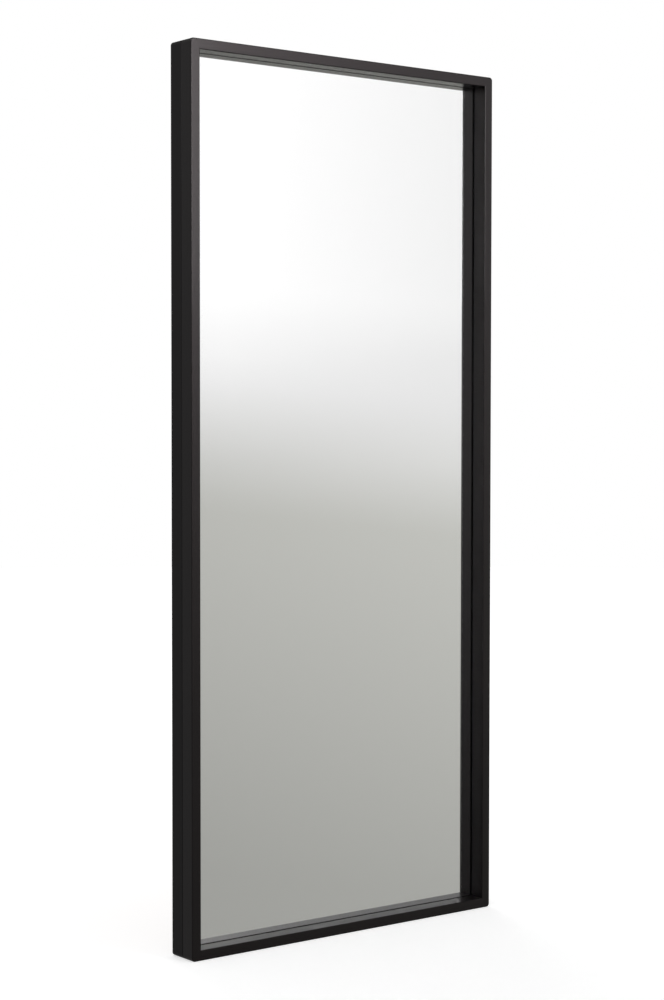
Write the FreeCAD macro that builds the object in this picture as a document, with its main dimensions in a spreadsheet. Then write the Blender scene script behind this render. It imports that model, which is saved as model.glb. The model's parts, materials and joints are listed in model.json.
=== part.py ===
"""Leaning floor mirror: a sheet of silvered glass in a deep, narrow wooden frame of two layers.

The front frame is wider than the rear one, which leaves a lip inside. The glass and its board drop in
from behind onto that lip, and steel points hold them. Two rings in the recess behind hang the mirror.

Row frame: +Z up, the mirror looks along -Y, X runs along its width. The origin is the centre of the
foot of the whole part, wall bumpers included. Every size is in millimetres.
"""

import FreeCAD
import Part
import Sketcher
import os

# The driving sizes. Each row is an alias of the sheet, its value and what it measures.
SIZES = (
    ("frame_height", 1500, "outer height of the frame"),
    ("frame_width", 650, "outer width of the frame"),
    ("face_width", 17.5, "width of a front member, seen from the front"),
    ("rear_width", 11, "width of a rear member: it leaves a lip for the glass"),
    ("front_depth", 28.5, "depth of the front frame"),
    ("rear_depth", 31.5, "depth of the rear frame"),
    ("corner_radius", 6, "rounding of the four outer corners"),
    ("front_arris", 1.5, "rounding of the front frame's front edges"),
    ("back_arris", 1, "chamfer of the rear frame's back edges"),
    ("joint_chamfer", 0.8, "chamfers that make the fine groove between the two frames"),
    ("glass_thickness", 4, "float glass"),
    ("glass_gap", 1.5, "gap between the edge of the glass and the rear frame"),
    ("glass_arris", 0.5, "ground edge of the glass"),
    ("coating_thickness", 0.2, "silver and its paint"),
    ("board_thickness", 3, "hardboard back"),
    ("tape_thickness", 0.5, "glazing tape"),
    ("tape_width", 4.5, "glazing tape"),
    ("front_tongue", 13, "square loose tongue of the front frame, corner to corner"),
    ("rear_tongue", 8, "square loose tongue of the rear frame, corner to corner"),
    ("tongue_thickness", 3, "loose tongue"),
    ("block_length", 40, "setting blocks and edge spacers"),
    ("block_inset", 150, "from the end of the glass to the middle of a block"),
    ("point_thickness", 0.5, "steel glazing point"),
    ("point_width", 6, "glazing point"),
    ("point_tip", 4, "tapered end of a glazing point"),
    ("point_buried", 7, "part of a glazing point inside the rear frame"),
    ("point_free", 8, "part of a glazing point that holds the board"),
    ("point_margin", 100, "from the end of a member to its first glazing point"),
    ("stile_points", 6, "glazing points in each stile"),
    ("rail_points", 3, "glazing points in each rail"),
    ("pilot_clearance", 0.02, "radial clearance of a screw in its pilot hole"),
    ("hanger_drop", 300, "from the top of the frame to the rings' pivots"),
    ("strap_width", 12, "width of a hanger strap"),
    ("strap_sheet", 1.2, "sheet that the strap is folded from"),
    ("fold_gap", 0.2, "gap between the two layers of the strap"),
    ("strap_length", 38, "from the pivot to the foot of the strap"),
    ("strap_corner", 4, "rounded corners at the foot of the strap"),
    ("strap_neck", 1, "inside bend where the eye meets the strap"),
    ("ring_wire", 2.5, "diameter of the ring's wire"),
    ("wire_sides", 12, "flat sides that the ring's wire is drawn with"),
    ("ring_clearance", 0.08, "radial clearance of the wire in the strap's eye"),
    ("ring_side_gap", 0.4, "gap between the strap and each arm of the ring"),
    ("ring_bend", 1.6, "bend between the ring's bar and its arms"),
    ("ring_arm", 4, "straight part of the ring, from its bar to its bow"),
    ("ring_seam", 0.4, "gap between the wire's two ends, inside the eye"),
    ("ring_rest", 10, "angle of a hanging ring that lies on its strap"),
    ("hanger_screw_length", 10, "round-head hanger screw"),
    ("hanger_screw_shank", 3.4, "diameter of the hanger screw"),
    ("hanger_screw_head", 6.4, "diameter of the hanger screw's head"),
    ("hanger_screw_dome", 1.8, "height of the hanger screw's head"),
    ("hanger_screw_first", 18, "from the pivot to the upper screw"),
    ("hanger_screw_pitch", 13, "between the two screws of a strap"),
    ("strap_hole_clearance", 0.2, "radial clearance of a hanger screw in its strap"),
    ("bumper_diameter", 8, "foot of a wall bumper"),
    ("bumper_tip", 6.4, "diameter of its outer end"),
    ("bumper_thickness", 2.5, "wall bumper"),
    ("bumper_margin", 45, "from the end of the stile to the middle of a bumper"),
)

HALF_ROOT = "sqrt(0.5)"

# Where things lie, worked out from the driving sizes. Depths are measured from the frame's front.
TOTAL_DEPTH = "(sizes.front_depth + sizes.rear_depth + sizes.bumper_thickness)"
FRONT_Y = f"(-{TOTAL_DEPTH} / 2)"
JOINT_Y = f"({FRONT_Y} + sizes.front_depth)"
BACK_Y = f"({JOINT_Y} + sizes.rear_depth)"
STACK_DEPTH = (
    "(sizes.tape_thickness + sizes.glass_thickness + sizes.coating_thickness + sizes.board_thickness)"
)
GLASS_Y = f"({JOINT_Y} + sizes.tape_thickness)"
COATING_Y = f"({GLASS_Y} + sizes.glass_thickness)"
BOARD_Y = f"({COATING_Y} + sizes.coating_thickness)"
BOARD_BACK_Y = f"({BOARD_Y} + sizes.board_thickness)"
SHEET_EDGE = "(sizes.rear_width + sizes.glass_gap)"
SHEET_WIDTH = f"(sizes.frame_width - 2 * {SHEET_EDGE})"
SHEET_HEIGHT = f"(sizes.frame_height - 2 * {SHEET_EDGE})"
WALL_MIDDLE = f"(({STACK_DEPTH} + sizes.rear_depth) / 2)"
PIVOT_Y = f"({JOINT_Y} + {WALL_MIDDLE})"
PIVOT_Z = "(sizes.frame_height - sizes.hanger_drop)"
EYE_BORE = "(sizes.ring_wire / 2 + sizes.ring_clearance)"
EYE_RADIUS = f"({EYE_BORE} + sizes.strap_sheet)"
STRAP_DEPTH = "(2 * sizes.strap_sheet + sizes.fold_gap)"
STRAP_FACE = f"({STRAP_DEPTH} - {EYE_RADIUS})"
PIVOT_X = f"(sizes.frame_width / 2 - sizes.rear_width - {EYE_RADIUS})"
RING_HALF = "(sizes.strap_width / 2 + sizes.ring_side_gap + sizes.ring_wire / 2)"

# The four sides of a frame: name, turn about Y, place of the middle of its outer edge, length, and
# the end (+1 or -1 along the member) nearer to the hanger, 0 where the member carries none.
SIDES = (
    ("rail_bottom", 0, "0", "0", "sizes.frame_width", 0),
    ("stile_right", -90, "sizes.frame_width / 2", "sizes.frame_height / 2", "sizes.frame_height", 1),
    ("rail_top", 180, "0", "sizes.frame_height", "sizes.frame_width", 0),
    ("stile_left", 90, "-sizes.frame_width / 2", "sizes.frame_height / 2", "sizes.frame_height", -1),
)

X_AXIS = FreeCAD.Vector(1, 0, 0)
Y_AXIS = FreeCAD.Vector(0, 1, 0)
Z_AXIS = FreeCAD.Vector(0, 0, 1)
TOLERANCE = 1e-4
STRAP_SCREWS = 2

doc = FreeCAD.newDocument("leaning_floor_mirror")
sheet = doc.addObject("Spreadsheet::Sheet", "sizes")
for row, (alias, value, meaning) in enumerate(SIZES, start=1):
    sheet.set(f"A{row}", alias)
    sheet.set(f"B{row}", str(value))
    sheet.set(f"C{row}", meaning)
    sheet.setAlias(f"B{row}", alias)
reading = doc.addObject("App::VarSet", "reading")
reading.addProperty("App::PropertyFloat", "number")
doc.recompute()

nodes = []


def size(text):
    """The number that an expression on the sheet gives."""
    reading.setExpression("number", text)
    reading.recompute()
    return reading.number


def bind(item, **expressions):
    """Binds properties of an object to expressions on the sheet."""
    for name, text in expressions.items():
        item.setExpression(name, text)


def place(item, x="0", y="0", z="0", axis=Y_AXIS, turn=0):
    """Turns an object about an axis and binds the place of its own origin."""
    item.Placement = FreeCAD.Placement(FreeCAD.Vector(), FreeCAD.Rotation(axis, turn))
    for name, text in (("x", x), ("y", y), ("z", z)):
        item.setExpression(f".Placement.Base.{name}", text)


def node(item, name):
    """Names an object as a sub-part and keeps it for export."""
    item.Label = name
    nodes.append(item)
    return item


def new_sketch(body, name, role, offset="0"):
    """A sketch on one of the body's own origin planes, moved along the plane's normal."""
    sketch = body.newObject("Sketcher::SketchObject", name)
    planes = [plane for plane in body.Origin.OriginFeatures if plane.Role == role]
    sketch.AttachmentSupport = [(planes[0], "")]
    sketch.MapMode = "FlatFace"
    sketch.setExpression(".AttachmentOffset.Base.z", offset)
    return sketch


def pin(sketch, edge, end, x=None, y=None):
    """Fixes one coordinate or both of a sketch point to expressions."""
    for kind, axis, text in (("DistanceX", -2, x), ("DistanceY", -1, y)):
        if text is None:
            continue
        if text == "0":
            sketch.addConstraint(Sketcher.Constraint("PointOnObject", edge, end, axis))
            continue
        index = sketch.addConstraint(Sketcher.Constraint(kind, -1, 1, edge, end, size(text)))
        sketch.setExpression(f"Constraints[{index}]", text)


def draw(sketch, points, centres=None, closed=True):
    """Draws lines and arcs through points.

    A point is (x, y) or (x, y, pinned), where pinned names the coordinates that are fixed: the end
    of an arc needs only one. centres gives the centre of each arc by the number of its first point,
    and every arc is under half a turn, or a quarter where it starts and ends square to its centre.
    """
    centres = centres or {}
    places = [FreeCAD.Vector(size(point[0]), size(point[1]), 0) for point in points]
    count = len(points) if closed else len(points) - 1
    ends = []
    for number in range(count):
        first = places[number]
        last = places[(number + 1) % len(points)]
        if number not in centres:
            edge = sketch.addGeometry(Part.LineSegment(first, last))
            ends.append((edge, 1, 2))
            continue
        centre = FreeCAD.Vector(size(centres[number][0]), size(centres[number][1]), 0)
        turns_left = (first - centre).cross(last - centre).z > 0
        begin, finish = (first, last) if turns_left else (last, first)
        circle = Part.Circle(centre, Z_AXIS, (first - centre).Length)
        arc = Part.ArcOfCircle(circle, circle.parameter(begin), circle.parameter(finish))
        edge = sketch.addGeometry(arc)
        ends.append((edge, 1, 2) if turns_left else (edge, 2, 1))
        pin(sketch, edge, 3, *centres[number])
    for number in range(count if closed else count - 1):
        edge, _, finish = ends[number]
        next_edge, begin, _ = ends[(number + 1) % count]
        sketch.addConstraint(Sketcher.Constraint("Coincident", edge, finish, next_edge, begin))
    for number, point in enumerate(points):
        edge, end = ends[number][:2] if number < count else (ends[-1][0], ends[-1][2])
        pinned = point[2] if len(point) > 2 else "xy"
        pin(sketch, edge, end, point[0] if "x" in pinned else None, point[1] if "y" in pinned else None)


def draw_circle(sketch, x, y, radius):
    """Draws a circle whose centre and radius are bound to expressions."""
    centre = FreeCAD.Vector(size(x), size(y), 0)
    edge = sketch.addGeometry(Part.Circle(centre, Z_AXIS, size(radius)))
    pin(sketch, edge, 3, x, y)
    index = sketch.addConstraint(Sketcher.Constraint("Radius", edge, size(radius)))
    sketch.setExpression(f"Constraints[{index}]", radius)


def feature(body, kind, name, sketch, length=None, **settings):
    """Adds a sketch-based feature to a body, and makes sure that it changes the solid."""
    before = body.Shape.Volume if body.Tip else 0.0
    item = body.newObject(f"PartDesign::{kind}", name)
    item.Profile = sketch
    for setting, value in settings.items():
        setattr(item, setting, value)
    if length:
        item.setExpression("Length", length)
    doc.recompute()
    if abs(body.Shape.Volume - before) < TOLERANCE:
        raise RuntimeError(f"{name} doesn't change {body.Label}")
    return item


def edges_where(item, test):
    """The names of the edges whose ends and middle all pass a test."""
    names = []
    for number, edge in enumerate(item.Shape.Edges, start=1):
        middle = edge.valueAt((edge.FirstParameter + edge.LastParameter) / 2)
        samples = [vertex.Point for vertex in edge.Vertexes] + [middle]
        if all(test(sample) for sample in samples):
            names.append(f"Edge{number}")
    return names


def dress(body, kind, name, base, test, amount):
    """Rounds (Fillet) or chamfers (Chamfer) the edges of a feature that pass a test."""
    item = body.newObject(f"PartDesign::{kind}", name)
    item.Base = (base, edges_where(base, test))
    item.setExpression("Radius" if kind == "Fillet" else "Size", amount)
    doc.recompute()
    body.Tip = item
    return item


def pattern(body, name, original, sketch, axis, length, occurrences):
    """Repeats a feature in a row along an axis of its sketch."""
    item = body.newObject("PartDesign::LinearPattern", name)
    item.Originals = [original]
    item.Direction = (sketch, [axis])
    bind(item, Length=length, Occurrences=occurrences)
    body.Tip = item
    doc.recompute()
    return item


def near(value, text):
    """Whether a coordinate equals an expression."""
    return abs(value - size(text)) < TOLERANCE


def linked(template, name, settings):
    """One more use of a template, at its own place."""
    link = doc.addObject("App::Link", name)
    link.LinkedObject = template
    place(link, **settings)
    return link


def group(name, seated):
    """One sub-part of separate solids, from pairs of a template and a place."""
    compound = doc.addObject("Part::Compound", name)
    compound.Links = [
        linked(template, f"{name}_{number}", settings)
        for number, (template, settings) in enumerate(seated, start=1)
    ]
    return node(compound, name)


def alike(template, places):
    """Pairs of one template and each place."""
    return [(template, settings) for settings in places]


def box(name, x, y, z):
    """A plain box of the given sizes, in its own frame."""
    item = doc.addObject("Part::Box", name)
    bind(item, Length=x, Width=y, Height=z)
    return item


# --- Frame members -------------------------------------------------------------------------------


def member_outline(body, length, width):
    """Draws a mitred member: its outer edge at the foot, its outer corners rounded up to the mitre."""
    radius = "sizes.corner_radius"
    bite = f"{radius} * (1 - {HALF_ROOT})"
    half = f"{length} / 2"
    outline = new_sketch(body, "outline", "XZ_Plane")
    points = (
        (f"-({half}) + {radius}", "0"),
        (f"{half} - {radius}", "0"),
        (f"{half} - {bite}", bite, "x"),
        (f"{half} - {width}", width),
        (f"-({half}) + {width}", width),
        (f"-({half}) + {bite}", bite, "x"),
    )
    centres = {1: (f"{half} - {radius}", radius), 5: (f"-({half}) + {radius}", radius)}
    draw(outline, points, centres)
    return outline


def is_outer(point):
    """Whether a point of a member's outline lies on its outer edge or rounded corner, not inside."""
    return point.z < size("sizes.corner_radius")


def cut_tongue_slots(body, length, width, diagonal, middle):
    """Cuts a slot for a square tongue, corner to corner along the member, in each mitre."""
    slots = new_sketch(body, "tongue_slots", "XZ_Plane", f"-({middle} - sizes.tongue_thickness / 2)")
    height = f"{width} / 2"
    for sign in ("", "-"):
        across = f"{sign}({length} / 2 - {height})"
        points = (
            (f"{across} - {diagonal} / 2", height),
            (across, f"{height} - {diagonal} / 2"),
            (f"{across} + {diagonal} / 2", height),
            (across, f"{height} + {diagonal} / 2"),
        )
        draw(slots, points)
    return feature(body, "Pocket", "tongue_pockets", slots, "sizes.tongue_thickness")


def front_member(side, turn, x, z, length):
    """A member of the front frame, with a rounded front."""
    width = "sizes.face_width"
    body = doc.addObject("PartDesign::Body", f"front_{side}")
    outline = member_outline(body, length, width)
    bar = feature(body, "Pad", "bar", outline, "sizes.front_depth", Reversed=True)
    rounded = dress(
        body,
        "Fillet",
        "front_edges",
        bar,
        lambda point: abs(point.y) < TOLERANCE and (is_outer(point) or near(point.z, width)),
        "sizes.front_arris",
    )
    dress(
        body,
        "Chamfer",
        "joint_edge",
        rounded,
        lambda point: near(point.y, "sizes.front_depth") and is_outer(point),
        "sizes.joint_chamfer",
    )
    cut_tongue_slots(body, length, width, "sizes.front_tongue", "sizes.front_depth / 2")
    place(body, x, FRONT_Y, z, turn=turn)
    return node(body, f"front_{side}")


def screw_drop(number):
    """How far a strap's screw lies below the pivot."""
    return f"(sizes.hanger_screw_first + {number} * sizes.hanger_screw_pitch)"


def point_count(side):
    """How many glazing points a member holds."""
    return "sizes.rail_points" if side.startswith("rail") else "sizes.stile_points"


def point_outline(sketch, along, foot):
    """Draws a glazing point: its square end in the recess, its tapered tip in the wood."""
    half = "sizes.point_width / 2"
    inner = f"{foot} + sizes.point_free"
    shoulder = f"{foot} - (sizes.point_buried - sizes.point_tip)"
    tip = f"{foot} - sizes.point_buried"
    points = (
        (f"{along} - {half}", inner),
        (f"{along} - {half}", shoulder),
        (along, tip),
        (f"{along} + {half}", shoulder),
        (f"{along} + {half}", inner),
    )
    draw(sketch, points)


def rear_member(side, turn, x, z, length, hanger_end):
    """A member of the rear frame, with slots for its glazing points and holes for a hanger's screws."""
    width = "sizes.rear_width"
    body = doc.addObject("PartDesign::Body", f"rear_{side}")
    outline = member_outline(body, length, width)
    bar = feature(body, "Pad", "bar", outline, "sizes.rear_depth", Reversed=True)
    dressed = dress(
        body,
        "Chamfer",
        "joint_edge",
        bar,
        lambda point: abs(point.y) < TOLERANCE and is_outer(point),
        "sizes.joint_chamfer",
    )
    dress(
        body,
        "Chamfer",
        "back_edges",
        dressed,
        lambda point: near(point.y, "sizes.rear_depth") and (is_outer(point) or near(point.z, width)),
        "sizes.back_arris",
    )
    cut_tongue_slots(body, length, width, "sizes.rear_tongue", WALL_MIDDLE)
    first_slot = new_sketch(body, "first_slot", "XZ_Plane", f"-{STACK_DEPTH}")
    point_outline(first_slot, f"sizes.point_margin - {length} / 2", width)
    slot = feature(body, "Pocket", "point_slot", first_slot, "sizes.point_thickness")
    span = f"{length} - 2 * sizes.point_margin"
    pattern(body, "point_slots", slot, first_slot, "H_Axis", span, point_count(side))
    if hanger_end:
        marks = new_sketch(body, "hanger_marks", "XY_Plane", width)
        pilot = "sizes.hanger_screw_shank / 2 + sizes.pilot_clearance"
        for number in range(STRAP_SCREWS):
            along = f"{hanger_end} * (sizes.frame_height / 2 - sizes.hanger_drop - {screw_drop(number)})"
            draw_circle(marks, along, WALL_MIDDLE, pilot)
        feature(body, "Pocket", "hanger_pilots", marks, f"sizes.hanger_screw_length - {STRAP_DEPTH}")
    place(body, x, JOINT_Y, z, turn=turn)
    return node(body, f"rear_{side}")


for side, turn, x, z, length, hanger_end in SIDES:
    front_member(side, turn, x, z, length)
    rear_member(side, turn, x, z, length, hanger_end)


# --- Loose tongues in the mitres -----------------------------------------------------------------


def tongue(name, diagonal):
    """A square tongue that stands on one corner, with the corners along X and Z."""
    body = doc.addObject("PartDesign::Body", name)
    outline = new_sketch(body, "outline", "XZ_Plane")
    half = f"{diagonal} / 2"
    draw(outline, ((f"-({half})", "0"), ("0", f"-({half})"), (half, "0"), ("0", half)))
    feature(body, "Pad", "plate", outline, "sizes.tongue_thickness", Midplane=True)
    return body


def corner_places(width, y):
    """The middles of the four mitres of members of a width, at a depth."""
    half = f"{width} / 2"
    return [
        {"x": f"{sign}(sizes.frame_width / 2 - {half})", "y": y, "z": height}
        for sign in ("-", "")
        for height in (half, f"sizes.frame_height - {half}")
    ]


front_tongue = tongue("front_tongue", "sizes.front_tongue")
rear_tongue = tongue("rear_tongue", "sizes.rear_tongue")
front_corners = corner_places("sizes.face_width", f"{FRONT_Y} + sizes.front_depth / 2")
rear_corners = corner_places("sizes.rear_width", f"{JOINT_Y} + {WALL_MIDDLE}")
group("front_corner_tongues", alike(front_tongue, front_corners))
group("rear_corner_tongues", alike(rear_tongue, rear_corners))


# --- Mirror, its bedding and its back ------------------------------------------------------------


def mirror_glass():
    """The glass sheet, with its edges ground."""
    body = doc.addObject("PartDesign::Body", "mirror_glass")
    outline = new_sketch(body, "outline", "XZ_Plane")
    half = f"{SHEET_WIDTH} / 2"
    points = ((f"-{half}", "0"), (half, "0"), (half, SHEET_HEIGHT), (f"-{half}", SHEET_HEIGHT))
    draw(outline, points)
    pane = feature(body, "Pad", "pane", outline, "sizes.glass_thickness", Reversed=True)
    dress(body, "Chamfer", "ground_edge", pane, lambda point: abs(point.y) < TOLERANCE, "sizes.glass_arris")
    place(body, "0", GLASS_Y, SHEET_EDGE)
    return node(body, "mirror_glass")


def sheet_of(name, thickness, y):
    """A plain sheet as large as the glass."""
    item = box(name, SHEET_WIDTH, thickness, SHEET_HEIGHT)
    place(item, f"-{SHEET_WIDTH} / 2", y, SHEET_EDGE)
    return node(item, name)


mirror_glass()
sheet_of("silver_coating", "sizes.coating_thickness", COATING_Y)
sheet_of("backing_board", "sizes.board_thickness", BOARD_Y)


# Four strips of tape on the lip of the front frame, in front of the edge of the glass.
upright_strip = box("upright_strip", "sizes.tape_width", "sizes.tape_thickness", SHEET_HEIGHT)
level_strip = box(
    "level_strip", f"{SHEET_WIDTH} - 2 * sizes.tape_width", "sizes.tape_thickness", "sizes.tape_width"
)
upright_strips = [
    {"x": x, "y": JOINT_Y, "z": SHEET_EDGE}
    for x in (f"-{SHEET_WIDTH} / 2", f"{SHEET_WIDTH} / 2 - sizes.tape_width")
]
level_strips = [
    {"x": f"sizes.tape_width - {SHEET_WIDTH} / 2", "y": JOINT_Y, "z": z}
    for z in (SHEET_EDGE, f"{SHEET_EDGE} + {SHEET_HEIGHT} - sizes.tape_width")
]
group("glazing_tape", alike(upright_strip, upright_strips) + alike(level_strip, level_strips))

# Blocks and spacers fill the gap between the edge of the glass and the rear frame.
rest_block = box("rest_block", "sizes.block_length", "sizes.glass_thickness", "sizes.glass_gap")
upright_block = box("upright_block", "sizes.glass_gap", "sizes.glass_thickness", "sizes.block_length")


def rest_places(z):
    """Two blocks along a level edge of the glass."""
    middle = f"({SHEET_WIDTH} / 2 - sizes.block_inset)"
    return [{"x": f"{sign}{middle} - sizes.block_length / 2", "y": GLASS_Y, "z": z} for sign in ("-", "")]


def side_places(x):
    """Two spacers along an upright edge of the glass."""
    low = f"{SHEET_EDGE} + sizes.block_inset - sizes.block_length / 2"
    high = f"{SHEET_EDGE} + {SHEET_HEIGHT} - sizes.block_inset - sizes.block_length / 2"
    return [{"x": x, "y": GLASS_Y, "z": z} for z in (low, high)]


left_spacers = side_places("-sizes.frame_width / 2 + sizes.rear_width")
right_spacers = side_places(f"{SHEET_WIDTH} / 2")
group("setting_blocks", alike(rest_block, rest_places("sizes.rear_width")))
group("top_spacers", alike(rest_block, rest_places(f"sizes.frame_height - {SHEET_EDGE}")))
group("side_spacers", alike(upright_block, left_spacers + right_spacers))


# --- Glazing points ------------------------------------------------------------------------------


def glazing_point():
    """A flat steel point: its middle where it enters the wood, its tip along -Z."""
    body = doc.addObject("PartDesign::Body", "glazing_point")
    outline = new_sketch(body, "outline", "XZ_Plane")
    point_outline(outline, "0", "0")
    feature(body, "Pad", "blade", outline, "sizes.point_thickness", Reversed=True)
    return body


def point_places():
    """The places of the points along the inner edge of each member, behind the board."""
    inner = {
        "rail_bottom": ("z", "sizes.rear_width"),
        "rail_top": ("z", "sizes.frame_height - sizes.rear_width"),
        "stile_left": ("x", "sizes.rear_width - sizes.frame_width / 2"),
        "stile_right": ("x", "sizes.frame_width / 2 - sizes.rear_width"),
    }
    places = []
    for side, turn, _, _, length, _ in SIDES:
        count = point_count(side)
        pitch = f"({length} - 2 * sizes.point_margin) / ({count} - 1)"
        across, edge = inner[side]
        along, start = ("x", f"-{length} / 2") if across == "z" else ("z", "0")
        for number in range(round(size(count))):
            middle = f"{start} + sizes.point_margin + {number} * {pitch}"
            places.append({across: edge, along: middle, "y": BOARD_BACK_Y, "turn": turn})
    return places


group("glazing_points", alike(glazing_point(), point_places()))


# --- Hangers -------------------------------------------------------------------------------------


def hanger_strap():
    """A sheet folded round the ring's bar: the eye at the origin, its back layer towards -X."""
    body = doc.addObject("PartDesign::Body", "hanger_strap")
    profile = new_sketch(body, "profile", "XZ_Plane")
    foot = "-sizes.strap_length"
    neck = f"-sqrt({EYE_RADIUS} ^ 2 - {STRAP_FACE} ^ 2)"
    inside = f"(sizes.fold_gap - {EYE_BORE})"
    mouth = f"-sqrt({EYE_BORE} ^ 2 - {inside} ^ 2)"
    points = (
        (f"-{EYE_RADIUS}", foot),
        (f"-{EYE_RADIUS}", "0"),
        ("0", EYE_RADIUS, "x"),
        (EYE_RADIUS, "0", "y"),
        (STRAP_FACE, neck, "x"),
        (STRAP_FACE, foot),
        (inside, foot),
        (inside, mouth, "x"),
        ("0", f"-{EYE_BORE}", "x"),
        (EYE_BORE, "0", "y"),
        ("0", EYE_BORE, "x"),
        (f"-{EYE_BORE}", "0"),
        (f"-{EYE_BORE}", foot),
    )
    eye_arcs = (1, 2, 3, 7, 8, 9, 10)
    draw(profile, points, {number: ("0", "0") for number in eye_arcs})
    folded = feature(body, "Pad", "folded_sheet", profile, "sizes.strap_width", Midplane=True)
    necked = dress(
        body,
        "Fillet",
        "neck_bend",
        folded,
        lambda point: near(point.x, STRAP_FACE) and near(point.z, neck),
        "sizes.strap_neck",
    )
    dress(
        body,
        "Fillet",
        "foot_corners",
        necked,
        lambda point: near(point.z, foot) and near(abs(point.y), "sizes.strap_width / 2"),
        "sizes.strap_corner",
    )
    marks = new_sketch(body, "screw_marks", "YZ_Plane")
    hole = "sizes.hanger_screw_shank / 2 + sizes.strap_hole_clearance"
    for number in range(STRAP_SCREWS):
        draw_circle(marks, "0", f"-{screw_drop(number)}", hole)
    feature(body, "Pocket", "screw_holes", marks, Type="ThroughAll", Midplane=True)
    return body


def hanger_ring():
    """A D-shaped ring that hangs from the origin: a wire bent round, its ends meeting in the eye."""
    body = doc.addObject("PartDesign::Body", "hanger_ring")
    route = new_sketch(body, "route", "YZ_Plane")
    seam = "sizes.ring_seam / 2"
    bend = "sizes.ring_bend"
    bow = "-sizes.ring_arm"
    points = (
        (seam, "0"),
        (f"{RING_HALF} - {bend}", "0"),
        (RING_HALF, f"-{bend}", "y"),
        (RING_HALF, bow),
        ("0", f"{bow} - {RING_HALF}", "x"),
        (f"-{RING_HALF}", bow, "y"),
        (f"-{RING_HALF}", f"-{bend}"),
        (f"-{RING_HALF} + {bend}", "0", "x"),
        (f"-({seam})", "0"),
    )
    centres = {
        1: (f"{RING_HALF} - {bend}", f"-{bend}"),
        3: ("0", bow),
        4: ("0", bow),
        6: (f"-{RING_HALF} + {bend}", f"-{bend}"),
    }
    draw(route, points, centres, closed=False)
    section = new_sketch(body, "section", "XZ_Plane", f"-({seam})")
    radius = "sizes.ring_wire / 2"
    sides = range(round(size("sizes.wire_sides")))
    turns = [f"(({number} + 0.5) * 360 / sizes.wire_sides)" for number in sides]
    draw(section, [(f"{radius} * cos({turn})", f"{radius} * sin({turn})") for turn in turns])
    doc.recompute()
    wire = body.newObject("PartDesign::AdditivePipe", "bent_wire")
    wire.Profile = section
    wire.Spine = (route, [f"Edge{number}" for number in range(1, len(points))])
    doc.recompute()
    return body


def hanger_screw():
    """A round-head screw that points along -Y, the underside of its head at the origin."""
    body = doc.addObject("PartDesign::Body", "hanger_screw")
    head = "(sizes.hanger_screw_head / 2)"
    shank = "(sizes.hanger_screw_shank / 2)"
    dome = "sizes.hanger_screw_dome"
    reach = f"-(sizes.hanger_screw_length - {shank})"
    drop = f"({head} ^ 2 - {dome} ^ 2) / (2 * {dome})"
    profile = new_sketch(body, "profile", "XY_Plane")
    points = (
        ("0", dome, "x"),
        ("0", "-sizes.hanger_screw_length"),
        (shank, reach),
        (shank, "0"),
        (head, "0"),
    )
    draw(profile, points, {4: ("0", f"-{drop}")})
    feature(body, "Revolution", "turned", profile, ReferenceAxis=(profile, ["V_Axis"]))
    return body


def hanger(side, sign, inward):
    """Sets the strap and the ring of one side, and returns the places of the strap's screws."""
    pivot = {"x": f"{sign}{PIVOT_X}", "y": PIVOT_Y, "z": PIVOT_Z}
    strap_turn = 0 if inward == 1 else 180
    strap_place = dict(pivot, axis=Z_AXIS, turn=strap_turn)
    ring_place = dict(pivot, axis=Y_AXIS, turn=-inward * size("sizes.ring_rest"))
    node(linked(strap, f"hanger_strap_{side}", strap_place), f"hanger_strap_{side}")
    node(linked(ring, f"hanger_ring_{side}", ring_place), f"hanger_ring_{side}")
    face = f"{pivot['x']} + {inward} * {STRAP_FACE}"
    return [
        dict(pivot, x=face, z=f"{PIVOT_Z} - {screw_drop(number)}", axis=Z_AXIS, turn=-90 * inward)
        for number in range(STRAP_SCREWS)
    ]


strap = hanger_strap()
ring = hanger_ring()
screw_places = hanger("left", "-", 1) + hanger("right", "", -1)
group("hanger_screws", alike(hanger_screw(), screw_places))


# --- Wall bumpers --------------------------------------------------------------------------------

bumper = doc.addObject("Part::Cone", "bumper")
bind(
    bumper,
    Radius1="sizes.bumper_diameter / 2",
    Radius2="sizes.bumper_tip / 2",
    Height="sizes.bumper_thickness",
)
bumper_places = [
    {
        "x": f"{sign}(sizes.frame_width - sizes.rear_width) / 2",
        "y": BACK_Y,
        "z": height,
        "axis": X_AXIS,
        "turn": -90,
    }
    for sign in ("-", "")
    for height in ("sizes.bumper_margin", "sizes.frame_height - sizes.bumper_margin")
]
group("wall_bumpers", alike(bumper, bumper_places))


# --- Check and export ----------------------------------------------------------------------------

doc.recompute()
for item in doc.Objects:
    if {"Invalid", "Error"} & set(item.State):
        raise RuntimeError(f"{item.Label} failed: {item.State}")
for item in nodes:
    if item.Shape.isNull() or not item.Shape.isValid():
        raise RuntimeError(f"{item.Label} has no valid shape")

os.makedirs("parts", exist_ok=True)
for item in nodes:
    item.Shape.exportStep(f"parts/{item.Label}.step")
    print(f"{item.Label}: {len(item.Shape.Solids)} solid(s), {item.Shape.Volume / 1000:.2f} cm3")
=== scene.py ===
"""Looks of the leaning floor mirror: its lacquer, glass, back board and small metal fittings.

Laid out as an add-on and run as a script. Lengths are in metres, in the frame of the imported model:
+Z is up, the mirror looks along -Y and the wall is towards +Y.
"""

import json
import math

import bmesh
import bpy
from bpy.props import FloatProperty, FloatVectorProperty, IntProperty, PointerProperty
from mathutils import Matrix, Vector


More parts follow.
